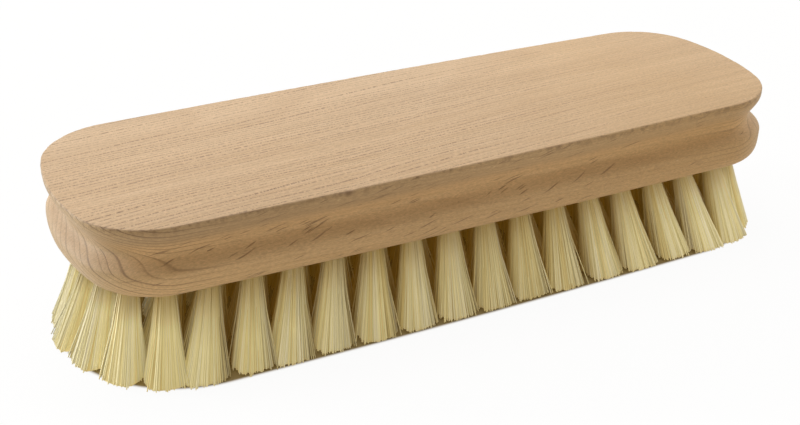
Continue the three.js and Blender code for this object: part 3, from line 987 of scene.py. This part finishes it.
stageLook = {
    "floor": (0.92, 0.84, 0.66, 1), "paper": (0.88, 0.87, 0.85, 1), "white": (1, 1, 1, 1), "glow": 0.94,
    "shade": (0.34, 0.28, 0.17, 1),  # painted shade on the ground among the tips
    "paintedGroundGlow": (0.030, 0.018, 0.003, 1),  # painted glow standing in for light that comes down to it through the tufts
    # the patch of painted shade: half length and half width inside the rounding, the rounding, and its soft
    # edge inwards and outwards, m
    "footprint": (0.0632, 0.0048, 0.0283), "edge": (0.0008, 0.0004),
    "bow": 5.7, "taper": 0.09,  # its sides are bowed as the brush is, and its back corners cut
    "reach": 4, "drop": 0.0002,
    "world": (1.0, 0.88, 0.60, 1), "worldStrength": 0.42,
}


def seenDirectly(tree):
    path = tree.nodes.new("ShaderNodeLightPath")
    camera, glossy, through = (out(path, f"Is {ray} Ray") for ray in ("Camera", "Glossy", "Transmission"))
    return calc("MAXIMUM", calc("MAXIMUM", camera, glossy), through)


def offFootprint(tree, look):  # 0 on the ground under the brush, where shade is painted
    x, y, _ = splitXYZ(newOut(tree, "ShaderNodeTexCoord", key="Object"))
    bowed = times(y, calc("MULTIPLY_ADD", times(x, x), look["bow"], 1.0))
    behind = calc("MAXIMUM", y, 0.0)
    tapered = calc("MULTIPLY_ADD", behind, look["taper"], calc("ABSOLUTE", x))
    place = joinXYZ(tapered, calc("ABSOLUTE", bowed))
    long, wide, rounding = look["footprint"]
    beyond = vecCalc("MAXIMUM", vecCalc("SUBTRACT", place, (long, wide, 0)), (0, 0, 0))
    inwards, outwards = look["edge"]
    return remap(vecCalc("LENGTH", beyond), rounding - inwards, rounding + outwards, smooth=True)


def makeFloor(look):
    r = look["reach"]
    mesh = bpy.data.meshes.new("floor")
    mesh.from_pydata([(-r, -r, 0), (r, -r, 0), (r, r, 0), (-r, r, 0)], [], [(0, 1, 2, 3)])
    floor = addObject("floor", mesh)
    floor.location.z = -look["drop"]
    material = bpy.data.materials.new("floorPaper")
    tree = clearTree(material)
    # the white glow keeps off the floor under the brush, which stays in its shadow and gets painted shade and
    # a dim painted glow
    outside, direct = offFootprint(tree, look), seenDirectly(tree)
    bare = mixColor(direct, look["floor"], look["paper"])
    paper = newOut(tree, "ShaderNodeBsdfDiffuse", {"Color": mixColor(outside, look["shade"], bare)})
    paintedGroundGlow = newOut(tree, "ShaderNodeEmission", {"Color": look["paintedGroundGlow"], "Strength": rest(outside)})
    paper = newOut(tree, "ShaderNodeAddShader", {0: paper, 1: paintedGroundGlow})
    glow = newOut(tree, "ShaderNodeEmission", {"Color": look["white"], "Strength": 1.0})
    share = times(direct, times(outside, look["glow"]))
    mixed = newOut(tree, "ShaderNodeMixShader", {0: share, 1: paper, 2: glow})
    # the underside of the brush can be seen through the floor
    below = newOut(tree, "ShaderNodeNewGeometry", key="Backfacing")
    clear = newOut(tree, "ShaderNodeBsdfTransparent")
    mixed = newOut(tree, "ShaderNodeMixShader", {0: below, 1: mixed, 2: clear})
    addNode(tree, "ShaderNodeOutputMaterial", {"Surface": mixed})
    mesh.materials.append(material)


def makeWorld(look):
    world = bpy.data.worlds.new("studio")
    tree = clearTree(world)
    soft = newOut(tree, "ShaderNodeBackground", {"Color": look["world"], "Strength": look["worldStrength"]})
    white = newOut(tree, "ShaderNodeBackground", {"Color": look["white"], "Strength": 1.0})
    mixed = newOut(tree, "ShaderNodeMixShader", {0: seenDirectly(tree), 1: soft, 2: white})
    addNode(tree, "ShaderNodeOutputWorld", {"Surface": mixed})
    bpy.context.scene.world = world


makeFloor(stageLook)
makeWorld(stageLook)
bpy.context.scene.view_settings.view_transform = "Standard"

lampSizes = {
    "above": {"place": (0.05, 0.55, 1.90), "size": 1.4, "power": 20.4, "color": (0.96, 0.99, 1.08)},
    "backLeft": {"place": (-1.26, 1.05, 0.60), "size": 1.0, "power": 22.0, "color": (0.94, 1.0, 1.08)},
    "right": {"place": (1.40, 0.12, 0.45), "size": 1.0, "power": 4.5, "color": (1.0, 0.96, 0.90)},
}
lampAim = Vector((0, 0, 0.02))


def makeLamp(name, sizes):
    lamp = bpy.data.lights.new(name, "AREA")
    lamp.shape = "DISK"
    lamp.size = sizes["size"]
    lamp.energy = sizes["power"]
    lamp.color = sizes["color"]
    holder = addObject(name, lamp)
    holder.location = sizes["place"]
    holder.rotation_euler = (lampAim - Vector(sizes["place"])).to_track_quat("-Z", "Y").to_euler()


for name, sizes in lampSizes.items():
    makeLamp(name, sizes)

cameraView = {"place": (-134.98, -244.67, 160.38), "azimuth": -27.65, "elevation": 28.29, "roll": 1.01,
              "focal": 1281.4, "frameWidth": 800, "sensor": 36, "near": 0.01}  # place in mm, focal in pixels


def makeCamera(view):
    turn, tilt, roll = (math.radians(view[k]) for k in ("azimuth", "elevation", "roll"))
    ahead = Vector((-math.sin(turn) * math.cos(tilt), math.cos(turn) * math.cos(tilt), -math.sin(tilt)))
    right = Vector((math.cos(turn), math.sin(turn), 0))
    up = right.cross(ahead)
    side = right * math.cos(roll) + up * math.sin(roll)
    high = up * math.cos(roll) - right * math.sin(roll)
    lens = bpy.data.cameras.new("camera")
    lens.sensor_width = view["sensor"]
    lens.lens = view["focal"] / view["frameWidth"] * lens.sensor_width
    lens.clip_start = view["near"]
    camera = addObject("camera", lens)
    turned = Matrix((side, high, -ahead)).transposed().to_4x4()
    camera.matrix_world = Matrix.Translation(Vector(view["place"]) * mm) @ turned
    bpy.context.scene.camera = camera


makeCamera(cameraView)
print("stage and camera set")

bpy.context.view_layer.update()
